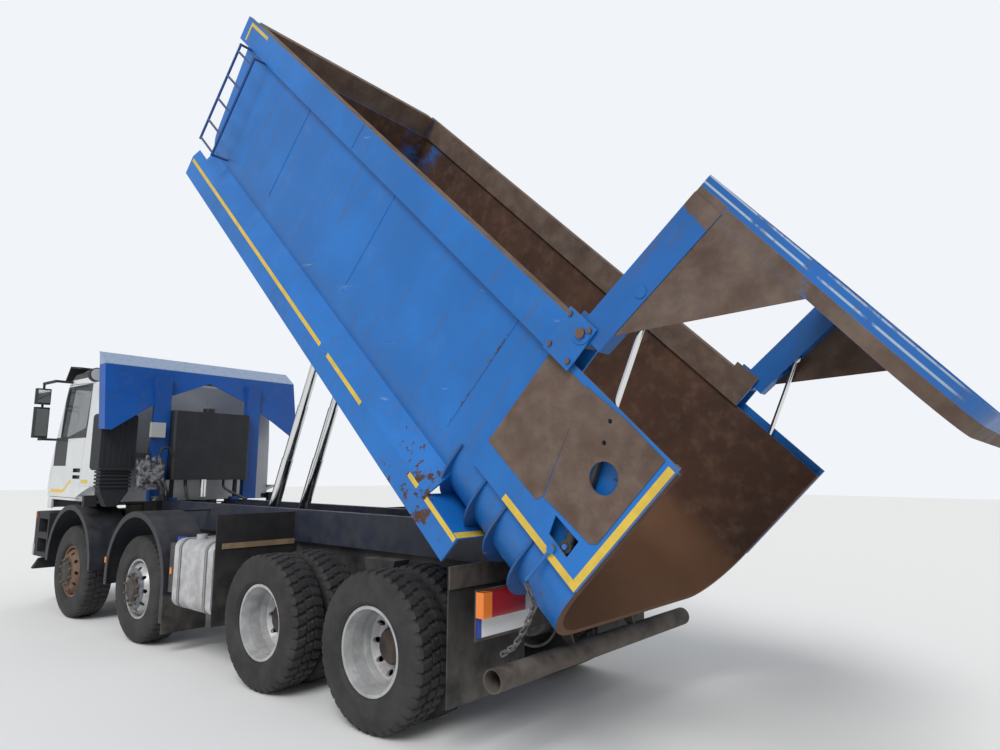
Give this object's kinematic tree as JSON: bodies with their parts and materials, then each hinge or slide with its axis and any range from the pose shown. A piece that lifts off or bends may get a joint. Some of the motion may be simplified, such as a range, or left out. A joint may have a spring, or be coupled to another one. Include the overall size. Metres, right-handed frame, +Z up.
{
  "type": "four-axle tipper truck",
  "caption": "Rigid dump truck with a half-round tipping bed raised on twin telescopic hoists, its top-hinged tailgate open, for loose bulk loads.",
  "frame": {"origin": "middle of the bounding box on the ground, in the pose of the picture", "axes": "+X to the front of the truck, +Y to its left, +Z up"},
  "size_m": [10.667, 2.78, 6.1849],
  "materials": {
    "black_steel": "worn satin",
    "frame_blue_black": "worn satin",
    "cast_grey": "rough",
    "white_aluminium": "satin, dirty",
    "black_plastic": "moulded",
    "lamp_lens": "gloss",
    "black_rubber": "matt",
    "rusty_steel": "rusty",
    "blank_plate": "gloss",
    "bed_blue": "worn gloss",
    "bare_steel": "machined",
    "cab_white": "gloss, dusty",
    "glass": "clear",
    "trim_grey": "grained",
    "rust_brown": "rusty",
    "chrome": "polished",
    "tyre": "worn",
    "silver_rim": "worn"
  },
  "bodies": {
    "chassis": {"chassis_rails": "black_steel", "tipper_subframe": "frame_blue_black", "engine_block": "cast_grey", "front_axles": "black_steel", "drive_line": "black_steel", "leaf_springs": "black_steel", "fuel_tank": "white_aluminium", "side_boxes": "black_steel", "front_bumper": "black_plastic", "lamps": "lamp_lens", "mudguards": "black_plastic", "mudflaps": "black_rubber", "rear_bumper": "rusty_steel", "cab_guard": "bed_blue", "hydraulics": "black_steel", "air_intake": "black_plastic"},
    "cab": {"cab_shell": "cab_white", "cab_glass": "glass", "cab_trim": "black_plastic", "cab_interior": "trim_grey", "mirrors": "black_plastic"},
    "door_left": {"door_left": "cab_white", "door_glass_left": "glass"},
    "door_right": {"door_right": "cab_white", "door_glass_right": "glass"},
    "bed": {"bed_tub": "bed_blue", "bed_rails": "bed_blue", "bed_skirts": "bed_blue", "bed_ribs": "bed_blue", "bed_underframe": "bed_blue", "bed_fittings": "bed_blue", "safety_chain": "rusty_steel"},
    "gate": {"tailgate": "bed_blue"},
    "gate_barrel": {"gate_barrels": "black_steel"},
    "gate_rod": {"gate_rods": "chrome"},
    "hoist_barrel": {"hoist_barrels": "black_steel"},
    "hoist_ram_1": {"hoist_stage_1": "chrome"},
    "hoist_ram_2": {"hoist_stage_2": "chrome"},
    "hoist_ram_3": {"hoist_stage_3": "chrome"},
    "hoist_ram_4": {"hoist_stage_4": "chrome"},
    "knuckle_1_left": {"knuckle_1l": "black_steel"},
    "wheel_1_left": {"tyre_1l": "tyre", "rim_1l": "silver_rim"},
    "knuckle_1_right": {"knuckle_1r": "black_steel"},
    "wheel_1_right": {"tyre_1r": "tyre", "rim_1r": "silver_rim"},
    "knuckle_2_left": {"knuckle_2l": "black_steel"},
    "wheel_2_left": {"tyre_2l": "tyre", "rim_2l": "silver_rim"},
    "knuckle_2_right": {"knuckle_2r": "black_steel"},
    "wheel_2_right": {"tyre_2r": "tyre", "rim_2r": "silver_rim"},
    "wheel_3_left": {"tyre_3l": "tyre", "rim_3l": "silver_rim"},
    "wheel_3_right": {"tyre_3r": "tyre", "rim_3r": "silver_rim"},
    "wheel_4_left": {"tyre_4l": "tyre", "rim_4l": "silver_rim"},
    "wheel_4_right": {"tyre_4r": "tyre", "rim_4r": "silver_rim"}
  },
  "joints": [
    {"name": "bed_tilt", "type": "hinge", "parent": "chassis", "child": "bed", "pos_m": [-2.34246, 0, 1.41998], "axis": [0, -1, 0], "range_deg": [-43.3, 0]},
    {"name": "hoist_swing", "type": "hinge", "parent": "chassis", "child": "hoist_barrel", "pos_m": [1.5134, 0, 0.552], "axis": [0, -1, 0], "range_deg": [-0.02, 5.69]},
    {"name": "hoist_slide_1", "type": "slide", "parent": "hoist_barrel", "child": "hoist_ram_1", "axis": [-0.3925, 0, 0.9198], "range_m": [-0.6605, 0.0005]},
    {"name": "hoist_slide_2", "type": "slide", "parent": "hoist_ram_1", "child": "hoist_ram_2", "axis": [-0.3925, 0, 0.9198], "range_m": [-0.5955, 0.0005]},
    {"name": "hoist_slide_3", "type": "slide", "parent": "hoist_ram_2", "child": "hoist_ram_3", "axis": [-0.3925, 0, 0.9198], "range_m": [-0.5955, 0.0005]},
    {"name": "hoist_slide_4", "type": "slide", "parent": "hoist_ram_3", "child": "hoist_ram_4", "axis": [-0.3925, 0, 0.9198], "range_m": [-0.65381, 0.0005]},
    {"name": "gate_hinge", "type": "hinge", "parent": "bed", "child": "gate", "pos_m": [-3.52634, 0, 2.52756], "axis": [0, 1, 0], "range_deg": [-84, 0]},
    {"name": "gate_ram_swing", "type": "hinge", "parent": "bed", "child": "gate_barrel", "pos_m": [-3.37471, 0, 1.36785], "axis": [0, 1, 0], "range_deg": [-1.03, 0.02]},
    {"name": "gate_ram_slide", "type": "slide", "parent": "gate_barrel", "child": "gate_rod", "axis": [-0.3779, 0, 0.9259], "range_m": [-0.55037, 0.0005]},
    {"name": "steer_1_left", "type": "hinge", "parent": "chassis", "child": "knuckle_1_left", "pos_m": [3.8884, 0.85, 0.54], "axis": [0, 0, 1], "range_deg": [-32, 32]},
    {"name": "steer_1_right", "type": "hinge", "parent": "chassis", "child": "knuckle_1_right", "pos_m": [3.8884, -0.85, 0.54], "axis": [0, 0, 1], "range_deg": [-32, 32]},
    {"name": "steer_2_left", "type": "hinge", "parent": "chassis", "child": "knuckle_2_left", "pos_m": [2.0414, 0.85, 0.54], "axis": [0, 0, 1], "range_deg": [-20.1, 20.1]},
    {"name": "steer_2_right", "type": "hinge", "parent": "chassis", "child": "knuckle_2_right", "pos_m": [2.0414, -0.85, 0.54], "axis": [0, 0, 1], "range_deg": [-20.1, 20.1]},
    {"name": "wheel_1_left", "type": "hinge", "parent": "knuckle_1_left", "child": "wheel_1_left", "pos_m": [3.8884, 1.05, 0.54], "axis": [0, 1, 0], "continuous": true},
    {"name": "wheel_1_right", "type": "hinge", "parent": "knuckle_1_right", "child": "wheel_1_right", "pos_m": [3.8884, -1.05, 0.54], "axis": [0, 1, 0], "continuous": true},
    {"name": "wheel_2_left", "type": "hinge", "parent": "knuckle_2_left", "child": "wheel_2_left", "pos_m": [2.0414, 1.05, 0.54], "axis": [0, 1, 0], "continuous": true},
    {"name": "wheel_2_right", "type": "hinge", "parent": "knuckle_2_right", "child": "wheel_2_right", "pos_m": [2.0414, -1.05, 0.54], "axis": [0, 1, 0], "continuous": true},
    {"name": "wheel_3_left", "type": "hinge", "parent": "chassis", "child": "wheel_3_left", "pos_m": [-0.3336, 1.05, 0.54], "axis": [0, 1, 0], "continuous": true},
    {"name": "wheel_3_right", "type": "hinge", "parent": "chassis", "child": "wheel_3_right", "pos_m": [-0.3336, -1.05, 0.54], "axis": [0, 1, 0], "continuous": true},
    {"name": "wheel_4_left", "type": "hinge", "parent": "chassis", "child": "wheel_4_left", "pos_m": [-1.7136, 1.05, 0.54], "axis": [0, 1, 0], "continuous": true},
    {"name": "wheel_4_right", "type": "hinge", "parent": "chassis", "child": "wheel_4_right", "pos_m": [-1.7136, -1.05, 0.54], "axis": [0, 1, 0], "continuous": true},
    {"name": "cab_tilt", "type": "hinge", "parent": "chassis", "child": "cab", "pos_m": [5.2464, 0, 1.06], "axis": [0, 1, 0], "range_deg": [0, 50]},
    {"name": "door_left", "type": "hinge", "parent": "cab", "child": "door_left", "pos_m": [4.9984, 1.14, 1.5], "axis": [0, 0, -1], "range_deg": [0, 65]},
    {"name": "door_right", "type": "hinge", "parent": "cab", "child": "door_right", "pos_m": [4.9984, -1.14, 1.5], "axis": [0, 0, 1], "range_deg": [0, 65]}
  ],
  "couplings": [
    {"joint": "hoist_swing", "follows": "bed_tilt", "ratio": -0.13103},
    {"joint": "hoist_slide_1", "follows": "bed_tilt", "m_per_rad": 0.87333},
    {"joint": "hoist_slide_2", "follows": "bed_tilt", "m_per_rad": 0.78732},
    {"joint": "hoist_slide_3", "follows": "bed_tilt", "m_per_rad": 0.78732},
    {"joint": "hoist_slide_4", "follows": "bed_tilt", "m_per_rad": 0.86448},
    {"joint": "gate_ram_swing", "follows": "gate_hinge", "ratio": 0.012004},
    {"joint": "gate_ram_slide", "follows": "gate_hinge", "m_per_rad": 0.37507},
    {"joint": "steer_1_right", "follows": "steer_1_left", "ratio": 1},
    {"joint": "steer_2_left", "follows": "steer_1_left", "ratio": 0.625},
    {"joint": "steer_2_right", "follows": "steer_1_left", "ratio": 0.625}
  ]
}
